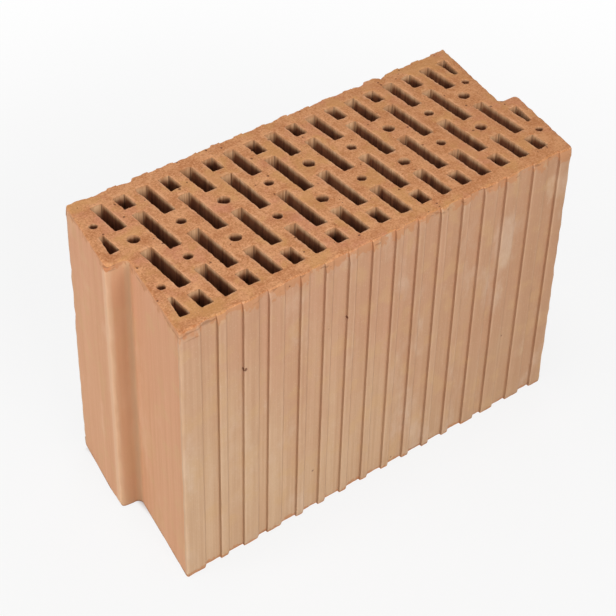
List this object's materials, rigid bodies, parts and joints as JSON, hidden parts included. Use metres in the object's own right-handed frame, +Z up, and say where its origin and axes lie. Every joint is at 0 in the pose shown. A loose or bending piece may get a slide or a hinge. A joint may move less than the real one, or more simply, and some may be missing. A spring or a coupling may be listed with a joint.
{
  "type": "perforated clay block",
  "caption": "Fired clay wall block with upright perforations in staggered columns, ribbed long faces that hold plaster, and saw-toothed ends that interlock with the next block.",
  "frame": {"origin": "middle of the lower bed face, on the surface that the block stands on", "axes": "+X along the wall, +Y through the wall from the front face to the rear face, +Z up the cells"},
  "size_m": [0.3968, 0.175, 0.249],
  "materials": {
    "fired_clay": "matt fired terracotta, ground on the two bed faces, paler extruded skin on the sides"
  },
  "bodies": {
    "root": {"clay_block": "fired_clay"}
  },
  "joints": []
}
